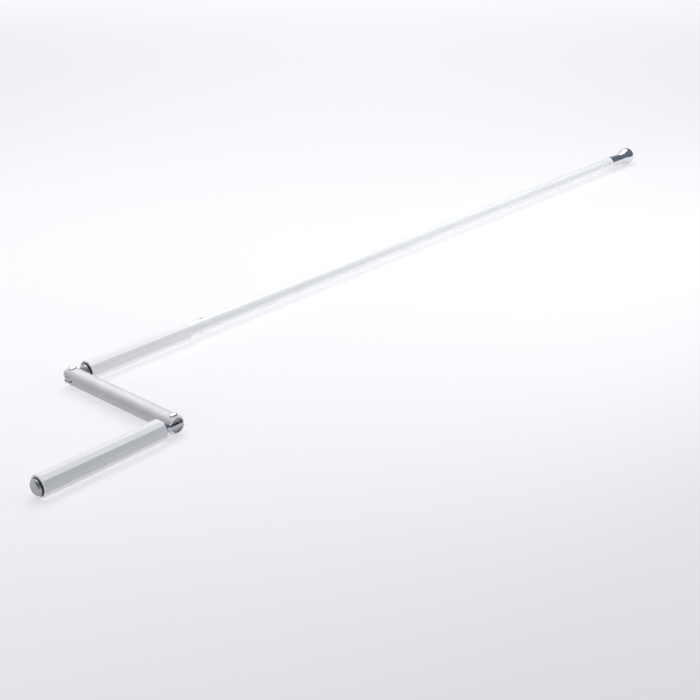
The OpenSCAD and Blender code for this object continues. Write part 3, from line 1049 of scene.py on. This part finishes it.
def arm_skin(places, radius):
    """One skin of the arm: at place s and angle a from the top, (s, radius sin a, radius cos a)."""
    angles = tube_angles(radius, RIVET_ZONE, SLOT_HALF)
    s, w = np.meshgrid(places, radius * np.sin(angles), indexing="ij")
    return np.stack([s, w, np.broadcast_to(radius * np.cos(angles), s.shape)], axis=-1)


def slot_faces(outside, bore):
    """Narrow sheets between the skins: along the ears' edges, and across the slots' floors."""
    rows = len(outside)
    floor_row = sum(EAR_STEPS)
    far_floor = rows - 1 - floor_row
    ears = [np.arange(floor_row + 1), np.arange(far_floor, rows)]
    side = SIDE_START + np.arange(SIDE_STEPS + 1)
    skins = np.stack([outside, bore], axis=2)
    faces = []
    for ear, floor_at in zip(ears, (floor_row, far_floor)):
        for cols in (side, HALF_COLS + side):
            faces += [skins[ear, edge] for edge in cols[[0, -1]]]
            faces.append(skins[floor_at, cols])
    return [sheet(face, loop_cols=False) for face in faces]


print("rivet heads sit", round(HEAD_SEAT, 2), "mm from the arm's axis")

# %% [markdown]
# ## The whole arm
# The grid's rows lie closest where something happens: round the rivets, along the ears and at the
# slots' floors. Cells in a rivet's zone or in a slot are left out, and the sheets of the holes and of
# the slots' faces close those gaps.


# %% Whole arm
def arm_sheets():
    """The arm's grid, the faces of its slots, and its four rivet holes."""
    inner = ARM_RADIUS - ARM_WALL
    near_end = np.array([ARM_END, RIVET_ZONE, -RIVET_ZONE, -SLOT_FLOOR, -SLOT_FLOOR - FLOOR_MARGIN])
    breaks = np.concatenate([near_end, -ARM_LENGTH - near_end[::-1]])
    end_steps = [*EAR_STEPS, FLOOR_STEPS]
    places = spans(breaks, [*end_steps, BODY_STEPS, *end_steps[::-1]])
    outside, bore = arm_skin(places, ARM_RADIUS), arm_skin(places, inner)
    row_place = np.concatenate([places, places[::-1]])
    halfway = (row_place + np.roll(row_place, -1)) / 2
    from_pin = np.minimum(np.abs(halfway), np.abs(halfway + ARM_LENGTH))
    in_ear = (halfway > -SLOT_FLOOR) | (halfway < SLOT_FLOOR - ARM_LENGTH)
    keep = ~((from_pin < RIVET_ZONE)[:, None] & IN_ZONE_COLS) & ~(in_ear[:, None] & IN_SIDE_COLS)
    sheets = [sheet(np.concatenate([outside, bore[::-1]]), keep=keep, loop_rows=True)]
    sheets += slot_faces(outside, bore)
    for pin in (0.0, -ARM_LENGTH):
        rings = hole_rings(pin, RIVET_ZONE, ARM_RADIUS, inner, RIVET_HOLE, (SPOT_RADIUS, HEAD_SEAT))
        sheets += [sheet(rings), sheet(rings * UNDERSIDE)]
    return [(arm_frame(points), quads) for points, quads in sheets]


arm = make_piece("satin_arm", arm_sheets(), "arm", "arm_tube", satin_aluminium)

# %% [markdown]
# ## The arm's edges
# A saw leaves the arm's ends with a small broken edge. A Bevel modifier can round it, but it must keep
# off the rivets' seats, so each sharp edge gets a weight of one only if it lies clear of both pins.

# %% Softened edges
ARM_EDGE = 0.45
CRISP_REACH = 1.2 * SPOT_RADIUS
SHARP_ANGLE = math.radians(40)
BEVEL_STEPS = 3


def soften_edges(piece, width, clear):
    """Bevels the sharp edges further than clear from both hinge pins, and keeps the others crisp."""
    mesh = piece.data
    mesh.set_sharp_from_angle(angle=SHARP_ANGLE)
    sharp = np.zeros(len(mesh.edges), bool)
    mesh.attributes["sharp_edge"].data.foreach_get("value", sharp)
    ends = np.zeros(2 * len(mesh.edges), np.int32)
    mesh.edges.foreach_get("vertices", ends)
    places = np.zeros(3 * len(mesh.vertices), np.float32)
    mesh.vertices.foreach_get("co", places)
    middle = places.reshape(-1, 3)[ends.reshape(-1, 2)].mean(axis=1) / MM
    from_pins = [np.hypot(middle[:, 0] - HINGE_X, middle[:, 1] - y) for y in (0.0, -ARM_LENGTH)]
    chosen = sharp & (np.minimum(*from_pins) > clear)
    weights = mesh.attributes.new("bevel_weight_edge", "FLOAT", "EDGE")
    weights.data.foreach_set("value", chosen.astype(np.float32))
    mesh.attributes["sharp_edge"].data.foreach_set("value", sharp & ~chosen)
    bevel = piece.modifiers.new("soft_edges", "BEVEL")
    bevel.limit_method = "WEIGHT"
    bevel.width = width * MM
    bevel.segments = BEVEL_STEPS
    bevel.harden_normals = True
    bevel.use_clamp_overlap = False
    print(piece.name, "softened", int(chosen.sum()), "of", int(sharp.sum()), "sharp edges")


soften_edges(arm, ARM_EDGE, CRISP_REACH)

# %% [markdown]
# ## Rivets
# Each hinge pin is a rivet with a low domed head at both ends. A dome of height h on a head of radius a
# is part of a ball of radius (a^2 + h^2) / 2h. Half the outline is drawn, mirrored and turned.

# %% Rivets
RIVET_SHANK = 2.5
HEAD_EDGE = 0.5
HEAD_ROUND = 0.2
HEAD_FOOT_ROUND = 0.1
DOME_STEPS = 10
HEAD_RADIUS = (PIN_HIGH[0] - PIN_LOW[0]) / 2
MIRRORED = np.array([-1.0, 1.0, 1.0])
head_top = PIN_HIGH[2]
dome = head_top - HEAD_SEAT - HEAD_EDGE
dome_ball = (HEAD_RADIUS**2 + dome**2) / (2 * dome)
swing = np.linspace(math.asin(HEAD_RADIUS / dome_ball), 0, DOME_STEPS)
dome_line = np.column_stack([
    head_top - dome_ball * (1 - np.cos(swing)), dome_ball * np.sin(swing), np.zeros(DOME_STEPS),
])
dome_line[0, 2] = HEAD_ROUND
foot = [(HEAD_SEAT, RIVET_SHANK, 0.0), (HEAD_SEAT, HEAD_RADIUS, HEAD_FOOT_ROUND)]
half_line = np.concatenate([foot, dome_line])
rivet = upright_z(turned(np.concatenate([half_line[::-1] * MIRRORED, half_line]), SMALL_STEPS))
rivets = [sheet(rivet + hinge) for hinge in (UPPER_HINGE, LOWER_HINGE)]
make_piece("hinge_rivets", rivets, "arm", "hinge_pins", bright_chrome)

# %% [markdown]
# ## Washers
# A black washer lies on each side of each tongue and gives the hinge its friction. All four are one
# ring, set down at both hinges, as it is and mirrored to the underside.

# %% Washers
WASHER_RADIUS = 5.0
WASHER_HOLE = 2.6
WASHER_ROUND = 0.12
WASHER_BASE = 2.0
AS_DRAWN = np.ones(3)
washer_top = box_mm("hinge_washers")[1][2]
washer = upright_z(
    turned_ring(WASHER_BASE, washer_top, WASHER_HOLE, WASHER_RADIUS, WASHER_ROUND, SMALL_STEPS)
)
washers = [
    sheet(washer * side + hinge, loop_rows=True)
    for hinge in (UPPER_HINGE, LOWER_HINGE)
    for side in (AS_DRAWN, UNDERSIDE)
]
make_piece("friction_washers", washers, "arm", "hinge_washers", bush_black)

# %% [markdown]
# ## Knuckles
# A knuckle is the metal end of a handle: a flat tongue that turns in the arm's slot, a chamfered collar
# and a stem that is pinned into the spindle. The tongue is a ring about the pin whose outer edge is not
# round: at angle a it is the nearest of the round end, the flat sides, half width / |sin a|, and the
# far end, length / cos a.

# %% Tongue
TONGUE_HALF_WIDTH = 7.1
TONGUE_END_RADIUS = 9.2
TONGUE_HALF_THICK = 1.9
TONGUE_LENGTH = 13.9
TONGUE_HOLE = 2.55
TONGUE_EDGE = 0.4
TONGUE_INSET = 8.0
TONGUE_STEPS = [10, 24, 30, 24]
# Stands in for a sine or cosine of zero in a division.
TINY = 1e-6


def tongue():
    """Rows run round the section: up the outer edge, over the top to the pin's hole, down the hole and
    back underneath. The section is drawn with its hole side a fixed way in, and that side is then set to
    the hole's radius."""
    corner = math.atan2(TONGUE_HALF_WIDTH, TONGUE_LENGTH)
    shoulder = math.pi - math.asin(TONGUE_HALF_WIDTH / TONGUE_END_RADIUS)
    breaks = np.array([-corner, corner, shoulder, 2 * math.pi - shoulder, 2 * math.pi - corner])
    angles = spans(breaks, TONGUE_STEPS)[:-1]
    beside = TONGUE_HALF_WIDTH / np.maximum(np.abs(np.sin(angles)), TINY)
    beyond = TONGUE_LENGTH / np.maximum(np.cos(angles), TINY)
    behind = np.where(np.cos(angles) < 0, TONGUE_END_RADIUS, np.inf)
    reach = np.minimum(np.minimum(beside, beyond), behind)
    edge_corners = [(0.0, -TONGUE_HALF_THICK), (0.0, TONGUE_HALF_THICK)]
    hole_corners = [(-TONGUE_INSET, TONGUE_HALF_THICK), (-TONGUE_INSET, -TONGUE_HALF_THICK)]
    section = rounded(edge_corners + hole_corners, [TONGUE_EDGE, TONGUE_EDGE, 0.0, 0.0])
    at_hole = section[:, :1] < -TONGUE_INSET / 2
    r = np.where(at_hole, TONGUE_HOLE, reach + section[:, :1])
    z = np.broadcast_to(section[:, 1:], r.shape)
    return np.stack([r * np.cos(angles), r * np.sin(angles), z], axis=-1)


tongue_points = tongue()
print("tongue reaches", round(float(tongue_points[..., 0].max()), 2), "mm from its pin")

# %% [markdown]
# ## Collars and stems
# The collar and the stem are turned in one outline. The finished knuckle is the tongue and that
# outline, set down at each of the two hinges.

# %% Knuckles
COLLAR_START = 12.2
COLLAR_CHAMFER = 1.7
COLLAR_END = 15.4
COLLAR_RADIUS = 8.0
COLLAR_FACE_ROUND = 0.5
COLLAR_ROUND = 0.6
COLLAR_BACK_ROUND = 0.3
STEM_RADIUS = 3.98
STEM_END = 43.4
STEM_ROUND = 0.5
collar = turned([
    (COLLAR_START, 0.0, 0.0),
    (COLLAR_START, COLLAR_RADIUS - COLLAR_CHAMFER, COLLAR_FACE_ROUND),
    (COLLAR_START + COLLAR_CHAMFER, COLLAR_RADIUS, COLLAR_ROUND),
    (COLLAR_END, COLLAR_RADIUS, COLLAR_BACK_ROUND),
    (COLLAR_END, STEM_RADIUS, 0.0),
    (STEM_END, STEM_RADIUS, STEM_ROUND),
    (STEM_END, 0.0, 0.0),
])
for name, put, body, node, finish in (
    ("upper_knuckle_metal", at_upper, "rod", "upper_knuckle", upper_zinc),
    ("lower_knuckle_metal", at_lower, "lower_handle", "lower_knuckle", lower_zinc),
):
    knuckle = [sheet(put(tongue_points), loop_rows=True), sheet(put(collar))]
    make_piece(name, knuckle, body, node, finish)

# %% [markdown]
# ## Black rings
# A black bush stands out of a sleeve beside each collar and beside the cap, and shows there as a thin
# dark ring. Each is a plain turned ring on its own handle's axis.

# %% Black rings
BUSH_BORE = 6.05
BUSH_ROUND = 0.3
for name, node, body in (
    ("upper_black_ring", "upper_hinge_bush", "upper_grip"),
    ("lower_black_ring", "lower_hinge_bush", "lower_grip"),
    ("cap_black_ring", "lower_cap_bush", "lower_grip"),
):
    bush_low, bush_high = box_mm(node)
    axis = np.array([0.0, (bush_low[1] + bush_high[1]) / 2, 0.0])
    bush = turned_ring(bush_low[0], bush_high[0], BUSH_BORE, bush_high[2], BUSH_ROUND) + axis
    make_piece(name, [sheet(bush, loop_rows=True)], body, node, bush_black)

# %% [markdown]
# ## The end cap
# The cap that closes the lower handle is turned: a disc with a chamfer round its face, and a stem in
# the spindle. Its outline is drawn from the stem's end to the face.

# %% End cap
CAP_STEM = 3.98
CAP_STEM_ROUND = 0.4
CAP_THICK = 2.5
CAP_BACK_ROUND = 0.25
CAP_CHAMFER = 1.8
CAP_RIM_ROUND = 0.35
CAP_FACE_ROUND = 0.25
cap_low, cap_high = box_mm("end_cap")
stem_end = HINGE_X - cap_high[0]
face = HINGE_X - cap_low[0]
cap_radius = cap_high[2]
cap = turned([
    (stem_end, 0.0, 0.0),
    (stem_end, CAP_STEM, CAP_STEM_ROUND),
    (face - CAP_THICK, CAP_STEM, 0.0),
    (face - CAP_THICK, cap_radius, CAP_BACK_ROUND),
    (face - CAP_CHAMFER, cap_radius, CAP_RIM_ROUND),
    (face, cap_radius - CAP_CHAMFER, CAP_FACE_ROUND),
    (face, 0.0, 0.0),
])
make_piece("turned_cap", [sheet(at_lower(cap))], "lower_handle", "end_cap", cap_steel)

# %% [markdown]
# ## Nodes that stay
# The plugs in the arm's ends and what is hidden in the grips and the tube keep their CAD shape, which is
# right as it is, and only get their finishes.

# %% Finishes of the nodes that stay
kept = {
    "arm_plugs": plug_grey,
    "rod_plug": plain_aluminium,
    "upper_spindle": plain_steel,
    "upper_spindle_pin": plain_steel,
    "upper_tube_bush": bush_black,
    "lower_spindle": plain_steel,
    "lower_spindle_pin": plain_steel,
}
for node, finish in kept.items():
    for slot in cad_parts[node].material_slots:
        slot.material = finish
print("kept nodes:", ", ".join(kept))
